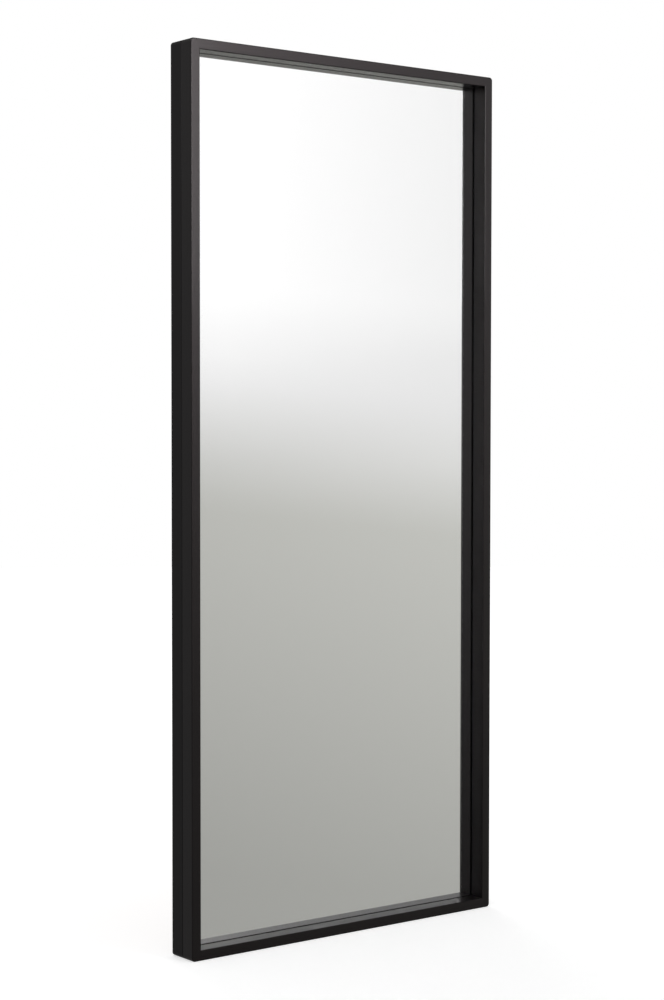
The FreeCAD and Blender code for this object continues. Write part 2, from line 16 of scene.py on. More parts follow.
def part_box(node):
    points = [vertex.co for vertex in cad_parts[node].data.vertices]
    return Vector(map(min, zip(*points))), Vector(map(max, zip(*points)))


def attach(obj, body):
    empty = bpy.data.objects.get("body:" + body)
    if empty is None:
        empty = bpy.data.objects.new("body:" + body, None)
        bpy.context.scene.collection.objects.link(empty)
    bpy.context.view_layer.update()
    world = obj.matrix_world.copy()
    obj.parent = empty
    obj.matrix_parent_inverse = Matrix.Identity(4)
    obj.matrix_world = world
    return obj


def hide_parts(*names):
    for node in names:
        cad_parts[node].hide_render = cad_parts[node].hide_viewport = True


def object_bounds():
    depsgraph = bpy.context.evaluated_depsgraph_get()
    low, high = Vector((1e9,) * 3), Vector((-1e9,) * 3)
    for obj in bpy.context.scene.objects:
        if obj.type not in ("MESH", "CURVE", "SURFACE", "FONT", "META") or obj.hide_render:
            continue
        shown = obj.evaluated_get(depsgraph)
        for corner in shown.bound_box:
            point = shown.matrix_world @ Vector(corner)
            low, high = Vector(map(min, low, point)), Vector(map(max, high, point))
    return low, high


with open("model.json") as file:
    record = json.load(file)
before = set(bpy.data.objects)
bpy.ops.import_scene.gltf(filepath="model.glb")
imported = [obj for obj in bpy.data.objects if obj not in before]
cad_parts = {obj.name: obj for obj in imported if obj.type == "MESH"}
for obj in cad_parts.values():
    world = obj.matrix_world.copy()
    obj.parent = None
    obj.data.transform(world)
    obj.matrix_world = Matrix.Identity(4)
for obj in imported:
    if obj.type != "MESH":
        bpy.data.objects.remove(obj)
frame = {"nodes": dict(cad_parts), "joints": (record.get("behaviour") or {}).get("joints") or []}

bl_info = {
    "name": "Floor mirror looks",
    "version": (1, 0, 0),
    "blender": (4, 5, 0),
    "location": "3D View > Sidebar > Floor mirror",
    "description": "Finishes and fittings of a deep-framed floor mirror, and the studio that shows it",
    "category": "Object",
}

MM = 0.001
CAD_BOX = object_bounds()
CAD_MIDDLE = (CAD_BOX[0] + CAD_BOX[1]) / 2
FRAME_BODY = "frame"
SIDES = ("left", "right")
# The axis along which the grain of each member of a frame runs.
MEMBER_GRAIN = {"stile_left": "Z", "stile_right": "Z", "rail_top": "X", "rail_bottom": "X"}
# Points that lie closer together than this are one point.
MERGE = 1e-6

# Lacquer. A sheen tints its reflection, and a coat is the weight of the clear coat over it, which adds
# the sharper reflection at a flat angle. LOOKS_UP says at which part of its normal along Z a face begins
# to look up and at which it does so fully. Such a face keeps only WIPED_COAT of its coat.
LACQUER_IOR = 1.24
FRONT_SHEEN = (1.0, 0.86, 0.89)
# The rear sheen and rear coat are weaker copies of the front ones, and the rear lacquer is darker than the
# front one: painted shade, which makes the rear half of the frame's sides darker than the front half.
REAR_SHADED_SHEEN = (0.74, 0.66, 0.70)
TOP_COAT_IOR = 1.2
TOP_COAT_ROUGHNESS = 0.12
FRONT_COAT = 1.0
REAR_SHADED_COAT = 0.5
WIPED_COAT = 0.35
LOOKS_UP = (0.2, 0.8)

# Dust on faces that look up: how far below the frame's top it begins and is full, its colour and
# roughness, and the reflection level of clean and of dusty lacquer.
DUST_BEGINS = 9 * MM
DUST_FULL = 7.2 * MM
DUST = "#2A2927"
DUST_ROUGHNESS = 0.8
CLEAN_REFLECTION = 0.5
DUST_REFLECTION = 0.05

# What reflections see to the right: the angle above the horizon in degrees, the level there and its
# colour. The floor is a little warmer than the white wall over it. In the mirror the camera sees no
# more than 10 degrees of the wall, so the levels above that show only in the lacquer.
WHITE = (1.0, 1.0, 1.0)
WARM = (0.995, 1.0, 0.945)
STUDIO_LEVELS = (
    (-90, 0.20, WARM),
    (-13, 0.385, WARM),
    (-3, 0.535, WARM),
    (0.5, 0.84, WHITE),
    (3, 1.0, WHITE),
    (11, 1.0, WHITE),
    (15, 0.8, WHITE),
    (25, 0.6, WHITE),
)

# Directions are parts of a unit vector, and a range along X, Y or Z is where one level turns into the
# next. The foot of the wall sinks by WALL_TILT for each unit of X, and is on the horizon at
# WALL_LEVEL_X. HORIZON is where the floor's share of its level turns into the wall's.
WALL_TILT = 0.13
WALL_LEVEL_X = 0.65
HORIZON = (-0.02, 0.03)
# How much of its level the wall and the floor have left and right of a range along X.
WALL_SIDES = (1.06, 0.89)
WALL_SIDES_X = (0.57, 0.67)
FLOOR_SIDES = (0.94, 1.04)
FLOOR_SIDES_X = (0.55, 0.67)
# Left of this range along X the studio is dim, with a lighter card before the mirror. Each has a level
# below and above its own horizon.
RIGHT_X = (0.15, 0.5)
DIM_LEVELS = (0.30, 0.38)
DIM_HORIZON = (-0.15, 0.15)
CARD_LEVELS = (0.22, 0.85)
CARD_HORIZON = (-0.22, 0.0)
CARD_Y = (-0.3, 0.3)

# Name, power setting, place, size and spread of each soft lamp, and how high up the mirror it points,
# in metres and degrees. The key lamp has a grid, so that little of it falls on the bottom rail.
LAMPS = (
    ("key_softbox", "key_power", (0.93, -2.8, 2.0), (0.9, 1.5), 50, 1.45),
    ("fill_softbox", "fill_power", (-3.0, -1.6, 2.4), (1.6, 1.6), 180, 0.75),
    ("back_softbox", "back_power", (1.2, 3.0, 2.6), (1.8, 1.4), 180, 0.75),
)


# --- Small helpers ---------------------------------------------------------------------------------


def linear(code):
    """Linear red, green and blue of an sRGB hex colour."""
    parts = [int(code[start:start + 2], 16) / 255 for start in (1, 3, 5)]
    return tuple(part / 12.92 if part <= 0.04045 else ((part + 0.055) / 1.055) ** 2.4 for part in parts)


def opaque(colour):
    """A colour as a socket wants it, with its alpha."""
    return (*colour[:3], 1.0)


def per_length(size):
    """Cycles per metre of a pattern that repeats after a length."""
    return 1 / size


def add_node(tree, kind, inputs=None, **settings):
    """Adds a node. inputs gives a value, or the socket to link, by the input's name or number."""
    made = tree.nodes.new(kind)
    for name, value in settings.items():
        setattr(made, name, value)
    for key, value in (inputs or {}).items():
        if isinstance(value, bpy.types.NodeSocket):
            tree.links.new(value, made.inputs[key])
        else:
            made.inputs[key].default_value = value
    return made


def new_material(name):
    """A material with an empty tree and its output node."""
    material = bpy.data.materials.new(name)
    material.use_nodes = True
    material.node_tree.nodes.clear()
    output = add_node(material.node_tree, "ShaderNodeOutputMaterial")
    return material, material.node_tree, output


def finish_surface(tree, output, height=None, depth=0.0, **sockets):
    """Adds the Principled shader, with a bump of the given height pattern, and links it to the output."""
    shader = add_node(tree, "ShaderNodeBsdfPrincipled")
    for name, value in sockets.items():
        socket = shader.inputs[name.replace("_", " ")]
        if isinstance(value, bpy.types.NodeSocket):
            tree.links.new(value, socket)
        else:
            socket.default_value = value
    if height is not None:
        bump = add_node(tree, "ShaderNodeBump", {"Height": height, "Distance": depth})
        tree.links.new(bump.outputs["Normal"], shader.inputs["Normal"])
    tree.links.new(shader.outputs["BSDF"], output.inputs["Surface"])


def stretched_noise(tree, sizes, detail=2.0):
    """Noise in Object coordinates whose grains measure sizes along X, Y and Z."""
    place = add_node(tree, "ShaderNodeTexCoord")
    scale = [per_length(size) for size in sizes]
    mapping = add_node(tree, "ShaderNodeMapping", {"Vector": place.outputs["Object"], "Scale": scale})
    noise = {"Vector": mapping.outputs["Vector"], "Scale": 1.0, "Detail": detail}
    return add_node(tree, "ShaderNodeTexNoise", noise).outputs["Fac"]


def ranged(tree, value, low, high, start=0.3, end=0.7):
    """A value that goes from low to high as a pattern goes from start to end."""
    inputs = {"Value": value, "From Min": start, "From Max": end, "To Min": low, "To Max": high}
    return add_node(tree, "ShaderNodeMapRange", inputs).outputs["Result"]


def calculated(tree, operation, *terms):
    """The result of an operation on values, each a number or a socket."""
    return add_node(tree, "ShaderNodeMath", dict(enumerate(terms)), operation=operation).outputs["Value"]


def level_between(tree, factor, first, second):
    """A value between two values, by a factor."""
    inputs = {0: factor, 2: first, 3: second}
    return add_node(tree, "ShaderNodeMix", inputs, data_type="FLOAT").outputs[0]


def blended(tree, factor, first, second):
    """A colour between a first colour, which may be a socket, and a second one, by a pattern."""
    start = first if isinstance(first, bpy.types.NodeSocket) else opaque(first)
    inputs = {0: factor, 6: start, 7: opaque(second)}
    return add_node(tree, "ShaderNodeMix", inputs, data_type="RGBA").outputs[2]


def shader_between(tree, factor, first, second):
    """The first shader where the factor is 0 and the second where it is 1."""
    inputs = {0: factor, 1: first, 2: second}
    return add_node(tree, "ShaderNodeMixShader", inputs).outputs["Shader"]


def in_reflection(tree, path):
    """1 on a glossy or transmitted ray, and 0 on any other."""
    return calculated(tree, "MAXIMUM", path["Is Glossy Ray"], path["Is Transmission Ray"])


def long_grain(axis, along, across):
    """The three sizes of a grain that runs along one axis."""
    return [along if axis == name else across for name in "XYZ"]


# --- Materials -------------------------------------------------------------------------------------


def satin_lacquer(name, colour, sheen, coat, axis, sheen_roughness):
    """Near-black satin lacquer, sprayed on planed and filled beech.

    The eye sees an even, slightly warm black with a wide, weak sheen, a clearer reflection at a flat
    angle, and the wood's grain only as a faint ripple along the member. The ripple of 1.2 mm stands
    for pores too fine for the picture. The top of the frame is dull under a film of dust.
    """
    material, tree, output = new_material(name)
    grain = stretched_noise(tree, long_grain(axis, 45 * MM, 1.2 * MM), detail=4.0)
    cloud = stretched_noise(tree, long_grain(axis, 320 * MM, 70 * MM))
    lighter = [part * 1.25 for part in colour]
    tone = blended(tree, ranged(tree, cloud, 0.0, 1.0), colour, lighter)
    roughness = ranged(tree, grain, sheen_roughness - 0.03, sheen_roughness + 0.04)
    face = add_node(tree, "ShaderNodeNewGeometry").outputs
    facing = add_node(tree, "ShaderNodeSeparateXYZ", {"Vector": face["Normal"]}).outputs["Z"]
    height = add_node(tree, "ShaderNodeSeparateXYZ", {"Vector": face["Position"]}).outputs["Z"]
    upward = ranged(tree, facing, 0.0, 1.0, *LOOKS_UP)
    top = CAD_BOX[1].z
    high = ranged(tree, height, 0.0, 1.0, top - DUST_BEGINS, top - DUST_FULL)
    dust = calculated(tree, "MULTIPLY", upward, high)
    dull = calculated(tree, "MULTIPLY", dust, DUST_ROUGHNESS)
    wiped = ranged(tree, upward, coat, coat * WIPED_COAT, 0.0, 1.0)
    bare = ranged(tree, dust, 1.0, 0.0, 0.0, 1.0)
    finish_surface(
        tree,
        output,
        height=grain,
        depth=0.012 * MM,
        Base_Color=blended(tree, dust, tone, linear(DUST)),
        Roughness=calculated(tree, "MAXIMUM", roughness, dull),
        IOR=LACQUER_IOR,
        Specular_IOR_Level=ranged(tree, dust, CLEAN_REFLECTION, DUST_REFLECTION, 0.0, 1.0),
        Specular_Tint=opaque(sheen),
        Coat_Weight=calculated(tree, "MULTIPLY", wiped, bare),
        Coat_IOR=TOP_COAT_IOR,
        Coat_Roughness=TOP_COAT_ROUGHNESS,
    )
    return material


def planed_beech(name, colour):
    """Unfinished planed beech: pinkish tan with short dark flecks and a dull surface."""
    material, tree, output = new_material(name)
    fleck = stretched_noise(tree, (0.5 * MM, 0.5 * MM, 3 * MM), detail=3.0)
    darker = [part * 0.72 for part in colour]
    tone = blended(tree, ranged(tree, fleck, 0.0, 1.0, 0.55, 0.7), colour, darker)
    finish_surface(tree, output, fleck, 0.03 * MM, Base_Color=tone, Roughness=0.62)
    return material


def float_glass(name, colour):
    """Clear float glass with ground edges: the eye sees only its gloss and how its edges refract."""
    material, tree, output = new_material(name)
    finish_surface(
        tree, output, Base_Color=opaque(colour), Roughness=0.0, IOR=1.52, Transmission_Weight=1.0
    )
    return material


def silvering(name, colour):
    """Chemically deposited silver behind the glass: a true mirror with no grain of its own."""
    material, tree, output = new_material(name)
    finish_surface(tree, output, Base_Color=opaque(colour), Metallic=1.0, Roughness=0.0)
    return material


def foam_tape(name, colour):
    """Closed-cell foam tape: dull black with fine cells, drawn 0.6 mm wide so that they show."""
    material, tree, output = new_material(name)
    cells = stretched_noise(tree, [0.6 * MM] * 3, detail=3.0)
    tone = blended(tree, cells, colour, [part * 1.8 for part in colour])
    finish_surface(tree, output, cells, 0.08 * MM, Base_Color=tone, Roughness=0.92)
    return material


def moulded_polypropylene(name, colour):
    """Moulded polypropylene: black and slightly waxy, with the fine texture of its mould."""
    material, tree, output = new_material(name)
    texture = stretched_noise(tree, [0.4 * MM] * 3)
    roughness = ranged(tree, texture, 0.42, 0.55)
    finish_surface(tree, output, texture, 0.02 * MM, Base_Color=opaque(colour), Roughness=roughness)
    return material


def pressed_hardboard(name, colour):
    """Hardboard, pressed from wood fibres: warm brown and mottled, with pale fibres and a dull sheen."""
    material, tree, output = new_material(name)
    mottle = stretched_noise(tree, (38 * MM, 38 * MM, 60 * MM), detail=5.0)
    fibre = stretched_noise(tree, (0.8 * MM, 0.8 * MM, 1.7 * MM), detail=6.0)
    broad = blended(tree, ranged(tree, mottle, 0.0, 1.0), [part * 0.78 for part in colour], colour)
    flecks = ranged(tree, fibre, 0.0, 1.0, 0.45, 0.78)
    tone = blended(tree, flecks, broad, [part * 1.5 for part in colour])
    roughness = ranged(tree, fibre, 0.5, 0.68)
    finish_surface(tree, output, fibre, 0.09 * MM, Base_Color=tone, Roughness=roughness)
    return material


def zinc_plate(name, colour, axis, line, roughness):
    """Electroplated zinc on steel: cool grey and cloudy, with drawn or rolled lines under the plating.

    The lines are thirty times as long as they are wide.
    """
    material, tree, output = new_material(name)
    lines = stretched_noise(tree, long_grain(axis, line * 30, line), detail=3.0)
    cloud = stretched_noise(tree, [3.5 * MM] * 3, detail=3.0)
    tone = blended(tree, ranged(tree, cloud, 0.0, 1.0), colour, [part * 0.78 for part in colour])
    rough = ranged(tree, cloud, roughness - 0.06, roughness + 0.08)
    finish_surface(tree, output, lines, 0.01 * MM, Base_Color=tone, Metallic=1.0, Roughness=rough)
    return material


def moulded_rubber(name, colour):
    """Moulded rubber: matt dark grey, a little dusty where it is not touched."""
    material, tree, output = new_material(name)
    dust = stretched_noise(tree, [1.4 * MM] * 3, detail=4.0)
    tone = blended(tree, ranged(tree, dust, 0.0, 1.0, 0.45, 0.8), colour, [part * 1.9 for part in colour])
    finish_surface(tree, output, dust, 0.03 * MM, Base_Color=tone, Roughness=0.78)
    return material


def studio_floor(name, studio):
    """Pale seamless paper. The camera sees it white apart from the shadow, and reflections see past it."""
    material, tree, output = new_material(name)
    path = add_node(tree, "ShaderNodeLightPath").outputs
    place = add_node(tree, "ShaderNodeTexCoord").outputs["Object"]
    distance = add_node(tree, "ShaderNodeVectorMath", {0: place}, operation="LENGTH").outputs["Value"]
    glow = ranged(
        tree, distance, studio.near_glow, studio.far_glow, studio.glow_start, studio.glow_reach
    )
    strength = calculated(tree, "MULTIPLY", glow, path["Is Camera Ray"])
    paper = add_node(tree, "ShaderNodeBsdfDiffuse", {"Color": opaque(studio.floor)})
    shine = add_node(tree, "ShaderNodeEmission", {"Color": opaque(WHITE), "Strength": strength})
    both = add_node(tree, "ShaderNodeAddShader", {0: paper.outputs["BSDF"], 1: shine.outputs["Emission"]})
    past = add_node(tree, "ShaderNodeBsdfTransparent").outputs["BSDF"]
    surface = shader_between(tree, in_reflection(tree, path), both.outputs["Shader"], past)
    tree.links.new(surface, output.inputs["Surface"])
    return material


# --- Settings --------------------------------------------------------------------------------------


def colour_setting(name, description, code):
    """A colour that a user may change, given as an sRGB hex value."""
    return FloatVectorProperty(
        name=name, description=description, subtype="COLOR", size=3, min=0.0, max=1.0, default=linear(code)
    )


def length_setting(name, description, millimetres):
    """A length that a user may change, given in millimetres."""
    return FloatProperty(
        name=name, description=description, default=millimetres * MM, min=0.0, unit="LENGTH", precision=5
    )


class FloorMirrorFinishes(bpy.types.PropertyGroup):
    """Colours and sheens of the mirror's parts."""

    front_lacquer: colour_setting("Front lacquer", "Lacquer of the front frame", "#0C0A0A")
    # The rear lacquer is a darker copy of the front lacquer: painted shade on the rear half of the frame.
    rear_shaded_lacquer: colour_setting("Rear lacquer", "Lacquer of the rear frame", "#0A0909")
    lacquer_roughness: FloatProperty(
        name="Lacquer roughness", description="0 is a gloss lacquer and 1 a dead matt one",
        default=0.41, min=0.0, max=1.0, subtype="FACTOR",
    )
    beech: colour_setting("Beech", "Loose tongues in the mitres", "#C9A77C")
    glass: colour_setting("Glass", "Tint of the float glass", "#FFFFFF")
    silver: colour_setting("Silver", "Reflection of the silvering", "#FDFDFD")
    tape: colour_setting("Tape", "Foam tape between the glass and its lip", "#141414")
    block: colour_setting("Blocks", "Setting blocks and spacers", "#1A1A1B")
    hardboard: colour_setting("Hardboard", "Board behind the mirror", "#7A5436")
    zinc: colour_setting("Zinc", "Plating of the straps, rings and screws", "#C6C9CC")
    point_steel: colour_setting("Point steel", "Glazing points behind the board", "#A3A6AA")
    rubber: colour_setting("Rubber", "Wall bumpers", "#2B2B2B")


class FloorMirrorFittings(bpy.types.PropertyGroup):
    """Sizes of the pieces that are made here."""

    pane_gap: length_setting("Pane gap", "Air between the glass and what it touches", 0.02)
    ground_edge: length_setting("Ground edge", "Ground arris of the glass", 0.5)
    wire_diameter: length_setting("Wire diameter", "Wire of the hanging rings", 2.5)
    ring_arm: length_setting("Ring arm", "Straight part of a ring, from its bar to its bow", 4.0)
    ring_bend: length_setting("Ring bend", "Bend between the ring's bar and its arms", 1.6)
    ring_seam: length_setting("Ring seam", "Gap between the wire's ends inside the eye", 0.4)
    ring_rest: FloatProperty(
        name="Ring rest", description="Angle at which a hanging ring lies on its strap",
        default=math.radians(10), subtype="ANGLE",
    )
    wire_sides: IntProperty(name="Wire sides", description="Faces round the wire", default=28, min=6)
    screw_head: length_setting("Screw head", "Diameter of a hanger screw's head", 6.4)
    screw_shank: length_setting("Screw shank", "Diameter of a hanger screw's shank", 3.4)
    screw_dome: length_setting("Screw dome", "Height of a hanger screw's head", 1.8)
    screw_seed: IntProperty(name="Screw seed", description="Chance turn of the screws' recesses", default=7)
    bumper_diameter: length_setting("Bumper diameter", "Wall bumper", 8.0)
    point_width: length_setting("Point width", "Glazing point", 6.0)
    point_buried: length_setting("Point buried", "Part of a glazing point inside the wood", 7.0)
    point_tip: length_setting("Point tip", "Tapered end of a glazing point", 4.0)


class FloorMirrorStudio(bpy.types.PropertyGroup):
    """Camera, lamps and floor."""

    camera_place: FloatVectorProperty(
        name="Camera place", description="Where the camera stands", subtype="TRANSLATION", unit="LENGTH",
        default=(-2.2068, -2.8416, 0.8851),
    )
    camera_heading: FloatProperty(
        name="Camera heading", description="Turn from the mirror's own axis", subtype="ANGLE",
        default=math.radians(37.658),
    )
    camera_tilt: FloatProperty(
        name="Camera tilt", description="Below the horizon", subtype="ANGLE", default=math.radians(2.187)
    )
    camera_roll: FloatProperty(
        name="Camera roll", description="About the line of sight", subtype="ANGLE",
        default=math.radians(0.056),
    )
    focal_length: FloatProperty(
        name="Focal length", description="Lens, in millimetres on a 36 mm sensor", default=75.10, min=1.0
    )
    ambient: FloatProperty(name="Ambient", description="Plain light from all round", default=0.5, min=0.0)
    key_power: FloatProperty(name="Key lamp", description="Power in watts", default=9.5, unit="POWER")
    fill_power: FloatProperty(name="Fill lamp", description="Power in watts", default=14.0, unit="POWER")
    back_power: FloatProperty(name="Back lamp", description="Power in watts", default=30.0, unit="POWER")
    floor: colour_setting("Floor", "Seamless floor", "#E6E6E6")
    floor_radius: length_setting("Floor radius", "Reach of the floor disc", 9000)
    near_glow: FloatProperty(
        name="Near glow", description="How far the floor at the mirror's foot is lifted to white",
        default=0.54, min=0.0,
    )
    far_glow: FloatProperty(
        name="Far glow", description="How far the floor away from the mirror is lifted to white",
        default=0.75, min=0.0,
    )
    glow_start: length_setting("Glow start", "Reach of the near glow", 500)
    glow_reach: length_setting("Glow reach", "Where the far glow is full", 4000)


# --- Geometry --------------------------------------------------------------------------------------


def link_mesh(name, mesh):
    """A new object of a mesh, at the origin."""
    made = bpy.data.objects.new(name, mesh)
    bpy.context.scene.collection.objects.link(made)
    return made


def mesh_from(name, shape, smooth=False):
    """A mesh from a bmesh, its faces turned outwards."""
    bmesh.ops.recalc_face_normals(shape, faces=shape.faces)
    mesh = bpy.data.meshes.new(name)
    shape.to_mesh(mesh)
    shape.free()
    for face in mesh.polygons:
        face.use_smooth = smooth
    return mesh


def solids_of(node):
    """The lowest and highest corner of each separate solid of a CAD node."""
    shape = bmesh.new()
    shape.from_mesh(frame["nodes"][node].data)
    bmesh.ops.remove_doubles(shape, verts=shape.verts, dist=MERGE)
    waiting = set(shape.verts)
    boxes = []
    while waiting:
        reached = [waiting.pop()]
        island = []
        while reached:
            vertex = reached.pop()
            island.append(vertex.co.copy())
            for edge in vertex.link_edges:
                other = edge.other_vert(vertex)
                if other in waiting:
                    waiting.remove(other)
                    reached.append(other)
        low = Vector([min(point[axis] for point in island) for axis in range(3)])
        high = Vector([max(point[axis] for point in island) for axis in range(3)])
        boxes.append((low, high))
    shape.free()
    return sorted(boxes, key=lambda box: (round(box[0].x, 4), round(box[0].z, 4)))


def lathe(profile, steps):
    """A closed solid of revolution about Z, from (radius, height) points that start and end on the axis."""
    shape = bmesh.new()
    rings = []
    for radius, height in profile:
        if radius < MERGE:
            rings.append([shape.verts.new((0, 0, height))])
            continue
        turns = [2 * math.pi * step / steps for step in range(steps)]
        rings.append([shape.verts.new((radius * math.cos(t), radius * math.sin(t), height)) for t in turns])
    for low, high in zip(rings, rings[1:]):
        for step in range(steps):
            after = (step + 1) % steps
            walk = ((low, step), (low, after), (high, after), (high, step))
            corners = [ring[turn % len(ring)] for ring, turn in walk]
            shape.faces.new(list(dict.fromkeys(corners)))
    return shape


def arc(centre, radius, start, end, steps):
    """Points on an arc in a plane, angles in degrees."""
    turns = [math.radians(start + (end - start) * step / steps) for step in range(steps + 1)]
    return [(centre[0] + radius * math.cos(t), centre[1] + radius * math.sin(t)) for t in turns]


def group_input(tree, name, kind, default=None):
    """Adds a named input to a geometry tree."""
    socket = tree.interface.new_socket(name, in_out="INPUT", socket_type=kind)
    if default is not None:
        socket.default_value = default


def finished(tree, geometry, finish):
    """Makes instances in a geometry tree real and gives them their finish."""
    real = add_node(tree, "GeometryNodeRealizeInstances", {"Geometry": geometry})
    inputs = {"Geometry": real.outputs["Geometry"], "Material": finish}
    return add_node(tree, "GeometryNodeSetMaterial", inputs).outputs["Geometry"]


def fitting_tree():
    """Sets one fitting on each point, turned by the point's own angles, and gives it its finish."""
    tree = bpy.data.node_groups.new("set_fittings", "GeometryNodeTree")
    group_input(tree, "Seats", "NodeSocketGeometry")
    group_input(tree, "Fitting", "NodeSocketObject")
    group_input(tree, "Size", "NodeSocketFloat", 1.0)
    group_input(tree, "Chance turn", "NodeSocketFloat", 0.0)
    group_input(tree, "Seed", "NodeSocketInt", 1)
    group_input(tree, "Finish", "NodeSocketMaterial")
    tree.interface.new_socket("Fittings", in_out="OUTPUT", socket_type="NodeSocketGeometry")
    given = add_node(tree, "NodeGroupInput").outputs
    fitting = add_node(tree, "GeometryNodeObjectInfo", {"Object": given["Fitting"], "As Instance": True})
    turn = add_node(tree, "GeometryNodeInputNamedAttribute", {"Name": "turn"}, data_type="FLOAT_VECTOR")
    angles = add_node(tree, "FunctionNodeEulerToRotation", {0: turn.outputs["Attribute"]})
    seated = add_node(
        tree,
        "GeometryNodeInstanceOnPoints",
        {
            "Points": given["Seats"],
            "Instance": fitting.outputs["Geometry"],
            "Rotation": angles.outputs[0],
            "Scale": given["Size"],
        },
    )
    draw = {"Max": given["Chance turn"], "Seed": given["Seed"]}
    chance = add_node(tree, "FunctionNodeRandomValue", draw, data_type="FLOAT")
    about = add_node(tree, "ShaderNodeCombineXYZ", {"Z": chance.outputs["Value"]})
    spun = add_node(
        tree,
        "GeometryNodeRotateInstances",
        {"Instances": seated.outputs["Instances"], "Rotation": about.outputs["Vector"]},
    )
    done = finished(tree, spun.outputs["Instances"], given["Finish"])
    add_node(tree, "NodeGroupOutput", {"Fittings": done})
    return tree


def wire_tree():
    """Draws a round wire along a route and gives it its finish."""
    tree = bpy.data.node_groups.new("bend_wire", "GeometryNodeTree")
    group_input(tree, "Route", "NodeSocketGeometry")
    group_input(tree, "Wire diameter", "NodeSocketFloat", 1.0)
    group_input(tree, "Sides", "NodeSocketInt", 12)
    group_input(tree, "Finish", "NodeSocketMaterial")
    tree.interface.new_socket("Wire", in_out="OUTPUT", socket_type="NodeSocketGeometry")
    given = add_node(tree, "NodeGroupInput").outputs
    route = add_node(tree, "GeometryNodeMeshToCurve", {"Mesh": given["Route"]})
    half = calculated(tree, "MULTIPLY", given["Wire diameter"], 0.5)
    circle = {"Resolution": given["Sides"], "Radius": half}
    section = add_node(tree, "GeometryNodeCurvePrimitiveCircle", circle)
    swept = add_node(
        tree,
        "GeometryNodeCurveToMesh",
        {"Curve": route.outputs["Curve"], "Profile Curve": section.outputs["Curve"], "Fill Caps": True},
    )
    smooth = add_node(tree, "GeometryNodeSetShadeSmooth", {"Geometry": swept.outputs["Mesh"]})
    done = finished(tree, smooth.outputs["Geometry"], given["Finish"])
    add_node(tree, "NodeGroupOutput", {"Wire": done})
    return tree


def evaluated_mesh(source):
    """A plain mesh of an object as its modifiers leave it."""
    bpy.context.view_layer.update()
    graph = bpy.context.evaluated_depsgraph_get()
    return bpy.data.meshes.new_from_object(source.evaluated_get(graph), depsgraph=graph)


def grow(name, base, tree, values):
    """Runs a geometry tree on a mesh and returns the result as a plain object."""
    source = link_mesh(f"{name}_base", base)
    modifier = source.modifiers.new(name, "NODES")
    modifier.node_group = tree
    for item in tree.interface.items_tree:
        if item.in_out == "INPUT" and item.name in values:
            modifier[item.identifier] = values[item.name]
    mesh = evaluated_mesh(source)
    source.modifiers.remove(modifier)
    bpy.data.objects.remove(source)
    if not mesh.polygons:
        raise RuntimeError(f"{name} came out empty")
    mesh.name = name
    return link_mesh(name, mesh)


def seats_mesh(name, seats):
    """A mesh of points, each with the angles that turn a fitting's +Z and +X to its two directions."""
    mesh = bpy.data.meshes.new(name)
    mesh.from_pydata([seat[0] for seat in seats], [], [])
    turn = mesh.attributes.new("turn", "FLOAT_VECTOR", "POINT")
    for number, (_, facing, along) in enumerate(seats):
        side = facing.cross(along)
        basis = Matrix((along, side, facing)).transposed()
        turn.data[number].vector = basis.to_euler()
    return mesh


def fit_pieces(name, template, seats, size, finish, chance_turn=0.0, seed=1):
    """Makes one piece of like fittings, one at each seat."""
    values = {
        "Fitting": template,
        "Size": size,
        "Chance turn": chance_turn,
        "Seed": seed,
        "Finish": finish,
    }
    tree = bpy.data.node_groups.get("set_fittings") or fitting_tree()
    made = grow(name, seats_mesh(f"{name}_seats", seats), tree, values)
    bpy.data.objects.remove(template)
    return made


def round_head_screw(head, dome, length, shank):
    """A cross-recessed round-head screw as wide as 1, its head's underside at the origin."""
    crown = (head ** 2 / 4 + dome ** 2) / (2 * dome)
    edge = math.degrees(math.asin(head / 2 / crown))
    ease = 0.1 * MM
    skirt = 0.25 * MM
    profile = [(0, -length), (shank / 2, -length + shank), (shank / 2, 0)]
    profile += [(head / 2 - ease, 0), (head / 2, ease)]
    curve = arc((0, dome - crown), crown, 90 - edge, 90, 10)
    profile += [(x, max(z, skirt)) for x, z in curve[:-1]] + [(0, dome)]
    body = link_mesh("screw_body", mesh_from("screw_body", lathe(profile, 40)))
    # The length, width and height of each slot of the cross, at its mouth and at its foot.
    mouth = (3.3 * MM, 0.85 * MM, dome + 0.2 * MM)
    foot = (1.485 * MM, 0.595 * MM, dome - 1.25 * MM)
    cutter_shape = bmesh.new()
    for turn in (0, 90):
        turned = Matrix.Rotation(math.radians(turn), 3, "Z")
        box = bmesh.ops.create_cube(cutter_shape, size=1.0)
        for vertex in box["verts"]:
            slot_length, slot_width, z = mouth if vertex.co.z > 0 else foot
            vertex.co = turned @ Vector((vertex.co.x * slot_length, vertex.co.y * slot_width, z))
    cutter = link_mesh("screw_recess", mesh_from("screw_recess", cutter_shape))
    cut = body.modifiers.new("recess", "BOOLEAN")
    cut.object = cutter
    cut.operation = "DIFFERENCE"
    cut.solver = "EXACT"
    cut.use_self = True
    mesh = evaluated_mesh(body)
    bpy.data.objects.remove(body)
    bpy.data.objects.remove(cutter)
    mesh.transform(Matrix.Scale(1 / head, 4))
    mesh.shade_smooth()
    mesh.set_sharp_from_angle(angle=math.radians(32))
    return link_mesh("round_head_screw", mesh)


